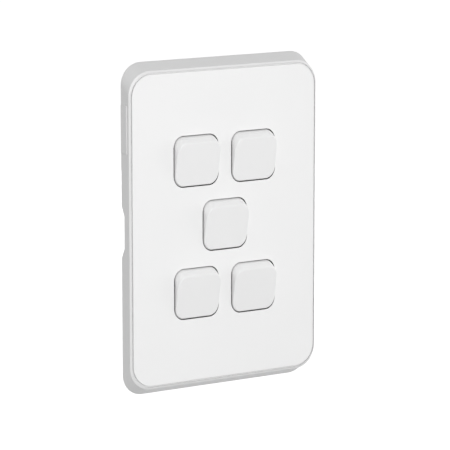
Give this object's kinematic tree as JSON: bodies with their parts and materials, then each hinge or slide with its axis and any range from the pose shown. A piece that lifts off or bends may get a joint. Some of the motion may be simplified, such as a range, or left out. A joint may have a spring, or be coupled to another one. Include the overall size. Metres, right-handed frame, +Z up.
{
  "type": "switch plate",
  "caption": "Upright wall plate with rounded-square rocker switches, a white front cover in a flared grey surround, and two-way switch bodies behind.",
  "frame": {"origin": "middle of the back plane, where the plate meets the wall", "axes": "+Z up, +X to the right as seen from the room, +Y into the wall; the front faces -Y"},
  "size_m": [0.0789, 0.0327, 0.12],
  "materials": {
    "white_cover": "satin white moulded plastic, fine even spark texture",
    "white_rocker": "satin white moulded plastic, slightly smoother than the cover",
    "white_rocker_core": "white moulded plastic, as moulded",
    "grey_surround": "light grey moulded plastic, satin",
    "grid_plastic": "off-white moulded plastic, as moulded",
    "housing_plastic": "white moulded plastic, as moulded",
    "base_plastic": "mid-grey moulded plastic, as moulded",
    "plunger_plastic": "natural acetal",
    "spring_steel": "bare spring steel",
    "zinc_steel": "bright zinc-plated steel",
    "contact_copper": "rolled copper with silver tips",
    "terminal_brass": "machined and stamped brass"
  },
  "bodies": {
    "plate": {"front_cover": "white_cover", "surround": "grey_surround", "grid_plate": "grid_plastic", "mounting_screws": "zinc_steel", "clamp_screws": "zinc_steel", "switch_housing_1": "housing_plastic", "terminal_base_1": "base_plastic", "common_terminal_1": "terminal_brass", "upper_terminal_1": "terminal_brass", "lower_terminal_1": "terminal_brass", "switch_housing_2": "housing_plastic", "terminal_base_2": "base_plastic", "common_terminal_2": "terminal_brass", "upper_terminal_2": "terminal_brass", "lower_terminal_2": "terminal_brass", "switch_housing_3": "housing_plastic", "terminal_base_3": "base_plastic", "common_terminal_3": "terminal_brass", "upper_terminal_3": "terminal_brass", "lower_terminal_3": "terminal_brass", "switch_housing_4": "housing_plastic", "terminal_base_4": "base_plastic", "common_terminal_4": "terminal_brass", "upper_terminal_4": "terminal_brass", "lower_terminal_4": "terminal_brass", "switch_housing_5": "housing_plastic", "terminal_base_5": "base_plastic", "common_terminal_5": "terminal_brass", "upper_terminal_5": "terminal_brass", "lower_terminal_5": "terminal_brass"},
    "rocker_1": {"rocker_cap_1": "white_rocker", "rocker_carrier_1": "white_rocker_core", "plunger_1": "plunger_plastic", "plunger_spring_1": "spring_steel"},
    "contact_1": {"seesaw_contact_1": "contact_copper"},
    "rocker_2": {"rocker_cap_2": "white_rocker", "rocker_carrier_2": "white_rocker_core", "plunger_2": "plunger_plastic", "plunger_spring_2": "spring_steel"},
    "contact_2": {"seesaw_contact_2": "contact_copper"},
    "rocker_3": {"rocker_cap_3": "white_rocker", "rocker_carrier_3": "white_rocker_core", "plunger_3": "plunger_plastic", "plunger_spring_3": "spring_steel"},
    "contact_3": {"seesaw_contact_3": "contact_copper"},
    "rocker_4": {"rocker_cap_4": "white_rocker", "rocker_carrier_4": "white_rocker_core", "plunger_4": "plunger_plastic", "plunger_spring_4": "spring_steel"},
    "contact_4": {"seesaw_contact_4": "contact_copper"},
    "rocker_5": {"rocker_cap_5": "white_rocker", "rocker_carrier_5": "white_rocker_core", "plunger_5": "plunger_plastic", "plunger_spring_5": "spring_steel"},
    "contact_5": {"seesaw_contact_5": "contact_copper"}
  },
  "joints": [
    {"name": "rocker_tilt_1", "type": "hinge", "parent": "plate", "child": "rocker_1", "pos_m": [-0.012, -0.00235, 0.024], "axis": [1, 0, 0], "range_deg": [-20, 0]},
    {"name": "contact_tilt_1", "type": "hinge", "parent": "plate", "child": "contact_1", "pos_m": [-0.012, 0.00898, 0.024], "axis": [1, 0, 0], "range_deg": [0, 20]},
    {"name": "rocker_tilt_2", "type": "hinge", "parent": "plate", "child": "rocker_2", "pos_m": [0.012, -0.00235, 0.024], "axis": [1, 0, 0], "range_deg": [-20, 0]},
    {"name": "contact_tilt_2", "type": "hinge", "parent": "plate", "child": "contact_2", "pos_m": [0.012, 0.00898, 0.024], "axis": [1, 0, 0], "range_deg": [0, 20]},
    {"name": "rocker_tilt_3", "type": "hinge", "parent": "plate", "child": "rocker_3", "pos_m": [0, -0.00235, 0], "axis": [1, 0, 0], "range_deg": [-20, 0]},
    {"name": "contact_tilt_3", "type": "hinge", "parent": "plate", "child": "contact_3", "pos_m": [0, 0.00898, 0], "axis": [1, 0, 0], "range_deg": [0, 20]},
    {"name": "rocker_tilt_4", "type": "hinge", "parent": "plate", "child": "rocker_4", "pos_m": [-0.012, -0.00235, -0.024], "axis": [1, 0, 0], "range_deg": [-20, 0]},
    {"name": "contact_tilt_4", "type": "hinge", "parent": "plate", "child": "contact_4", "pos_m": [-0.012, 0.00898, -0.024], "axis": [1, 0, 0], "range_deg": [0, 20]},
    {"name": "rocker_tilt_5", "type": "hinge", "parent": "plate", "child": "rocker_5", "pos_m": [0.012, -0.00235, -0.024], "axis": [1, 0, 0], "range_deg": [-20, 0]},
    {"name": "contact_tilt_5", "type": "hinge", "parent": "plate", "child": "contact_5", "pos_m": [0.012, 0.00898, -0.024], "axis": [1, 0, 0], "range_deg": [0, 20]}
  ],
  "couplings": [
    {"joint": "contact_tilt_1", "follows": "rocker_tilt_1", "ratio": -1},
    {"joint": "contact_tilt_2", "follows": "rocker_tilt_2", "ratio": -1},
    {"joint": "contact_tilt_3", "follows": "rocker_tilt_3", "ratio": -1},
    {"joint": "contact_tilt_4", "follows": "rocker_tilt_4", "ratio": -1},
    {"joint": "contact_tilt_5", "follows": "rocker_tilt_5", "ratio": -1}
  ]
}
